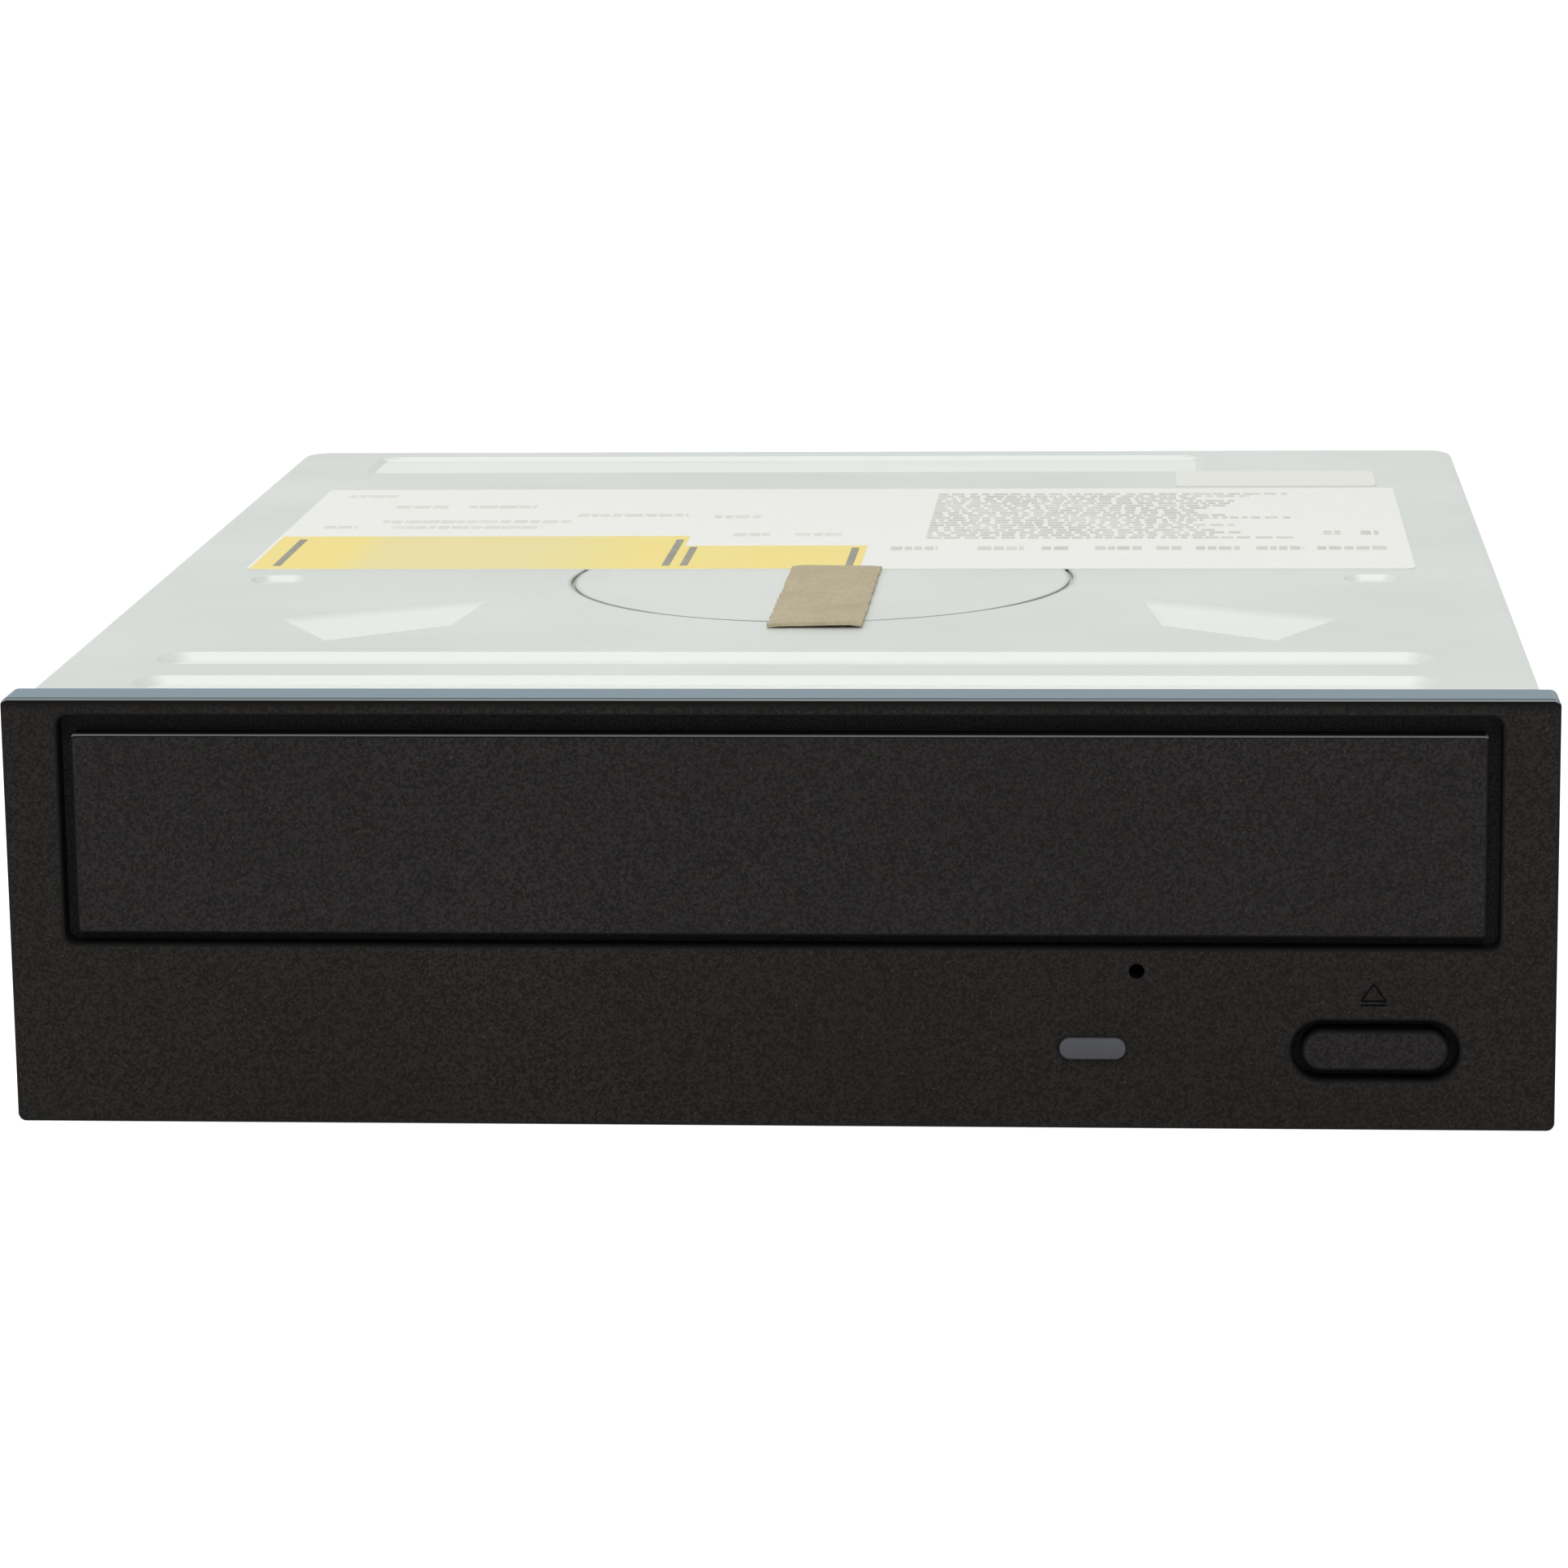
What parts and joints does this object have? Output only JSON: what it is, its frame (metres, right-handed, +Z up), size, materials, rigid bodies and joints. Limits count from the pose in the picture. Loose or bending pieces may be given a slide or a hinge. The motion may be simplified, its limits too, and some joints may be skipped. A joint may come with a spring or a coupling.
{
  "type": "internal dvd writer",
  "caption": "Half-height internal disc writer in a steel case with a black front bezel; its tray slides out, its lift, gear train, spindle, sled, lens and eject button move.",
  "frame": {"origin": "under the middle of the drive, level with the lower edge of the bezel", "axes": "+X to the right seen from the front, +Y from the bezel to the connectors, +Z up"},
  "size_m": [0.1486, 0.1705, 0.0424],
  "materials": {
    "cover_steel": "galvanised, satin",
    "plain_steel": "plated, satin",
    "screw_steel": "zinc plated",
    "black_textured": "fine spark texture",
    "black_plastic": "as moulded",
    "white_plastic": "as moulded",
    "lamp_grey": "smoky grey",
    "lamp_clear": "clear resin",
    "label_paper": "coated paper",
    "beige_tape": "woven tape",
    "rubber": "matt",
    "green_board": "solder mask",
    "copper": "enamelled wire",
    "tin": "tinned",
    "ribbon": "flat cable",
    "lens_glass": "coated glass"
  },
  "bodies": {
    "chassis": {"top_cover": "cover_steel", "bottom_cover": "cover_steel", "bottom_cover_screws": "screw_steel", "main_frame": "black_plastic", "front_bezel": "black_textured", "light_pipe": "lamp_grey", "rating_label": "label_paper", "blank_sticker": "label_paper", "cover_tape": "beige_tape", "clamp_bridge": "cover_steel", "clamp_bridge_screws": "screw_steel", "loading_motor": "plain_steel", "loading_motor_screws": "screw_steel", "drive_belt": "rubber", "switch_body": "black_plastic", "lamp": "lamp_clear", "main_board": "green_board", "front_board": "green_board", "board_screws": "screw_steel", "controller_chip": "black_plastic", "motor_driver_chip": "black_plastic", "memory_chips": "black_plastic", "capacitors": "tin", "crystal": "tin", "cable_sockets": "white_plastic", "front_cable": "ribbon", "power_connector": "white_plastic", "data_connector": "black_plastic", "jumper_block": "black_plastic", "jumper_cap": "black_plastic", "audio_connectors": "white_plastic", "connector_pins": "tin"},
    "tray": {"disc_tray": "black_plastic", "tray_door": "black_textured"},
    "eject_button": {"eject_button": "black_textured"},
    "switch_plunger": {"switch_plunger": "white_plastic"},
    "motor_pulley": {"motor_pulley": "white_plastic"},
    "pulley_gear": {"pulley_gear": "white_plastic"},
    "loading_gear": {"loading_gear": "white_plastic"},
    "cam_slider": {"cam_slider": "white_plastic"},
    "lift": {"lift_frame": "black_plastic", "traverse_base": "plain_steel", "dampers": "rubber", "damper_screws": "screw_steel", "spindle_base": "green_board", "spindle_stator": "copper", "guide_rods": "plain_steel", "sled_motor": "plain_steel"},
    "turntable": {"spindle_rotor": "plain_steel", "turntable": "black_plastic", "turntable_ring": "rubber"},
    "clamper": {"clamper": "white_plastic", "clamper_yoke": "plain_steel"},
    "sled": {"pickup_body": "black_plastic", "pickup_cover": "plain_steel", "laser_diodes": "plain_steel", "sled_nut": "white_plastic"},
    "lens": {"lens_holder": "white_plastic", "objective_lens": "lens_glass"},
    "lead_screw": {"lead_screw": "plain_steel"}
  },
  "joints": [
    {"name": "tray_slide", "type": "slide", "parent": "chassis", "child": "tray", "axis": [0, -1, 0], "range_m": [0, 0.134]},
    {"name": "eject_press", "type": "slide", "parent": "chassis", "child": "eject_button", "axis": [0, 1, 0], "range_m": [0, 0.0008], "stiffness_N_per_m": 1500},
    {"name": "plunger_press", "type": "slide", "parent": "chassis", "child": "switch_plunger", "axis": [0, 1, 0], "range_m": [0, 0.00025]},
    {"name": "motor_turn", "type": "hinge", "parent": "chassis", "child": "motor_pulley", "pos_m": [0.01, -0.064, 0.0166], "axis": [0, 0, 1], "range_deg": [-9383.78, 0]},
    {"name": "pulley_turn", "type": "hinge", "parent": "chassis", "child": "pulley_gear", "pos_m": [-0.02446, -0.06108, 0.0166], "axis": [0, 0, 1], "range_deg": [-3127.93, 0]},
    {"name": "loading_turn", "type": "hinge", "parent": "chassis", "child": "loading_gear", "pos_m": [-0.041, -0.064, 0.0208], "axis": [0, 0, 1], "range_deg": [0, 853.08]},
    {"name": "cam_slide", "type": "slide", "parent": "chassis", "child": "cam_slider", "axis": [1, 0, 0], "range_m": [-0.014, 0]},
    {"name": "lift_tilt", "type": "hinge", "parent": "chassis", "child": "lift", "pos_m": [0, 0.056, 0.0145], "axis": [1, 0, 0], "range_deg": [0, 5.5]},
    {"name": "spindle_turn", "type": "hinge", "parent": "lift", "child": "turntable", "pos_m": [0, -0.014, 0.025], "axis": [0, 0, 1], "continuous": true},
    {"name": "clamper_turn", "type": "hinge", "parent": "chassis", "child": "clamper", "pos_m": [0, -0.014, 0.031], "axis": [0, 0, 1], "continuous": true},
    {"name": "sled_slide", "type": "slide", "parent": "lift", "child": "sled", "axis": [0, 1, 0], "range_m": [0, 0.035]},
    {"name": "lens_focus", "type": "slide", "parent": "sled", "child": "lens", "axis": [0, 0, 1], "range_m": [-0.0003, 0.0003], "stiffness_N_per_m": 60},
    {"name": "screw_turn", "type": "hinge", "parent": "lift", "child": "lead_screw", "pos_m": [0.031, 0.02, 0.0169], "axis": [0, 1, 0], "range_deg": [0, 4200.01]}
  ],
  "couplings": [
    {"joint": "loading_turn", "follows": "tray_slide", "rad_per_m": 111.11},
    {"joint": "pulley_turn", "follows": "tray_slide", "rad_per_m": -407.41},
    {"joint": "motor_turn", "follows": "tray_slide", "rad_per_m": -1222.2},
    {"joint": "cam_slide", "follows": "tray_slide", "ratio": -0.10448},
    {"joint": "lift_tilt", "follows": "tray_slide", "rad_per_m": 0.71637},
    {"joint": "plunger_press", "follows": "eject_press", "ratio": 0.3125},
    {"joint": "clamper_turn", "follows": "spindle_turn", "ratio": 1},
    {"joint": "screw_turn", "follows": "sled_slide", "rad_per_m": 2094.4}
  ]
}
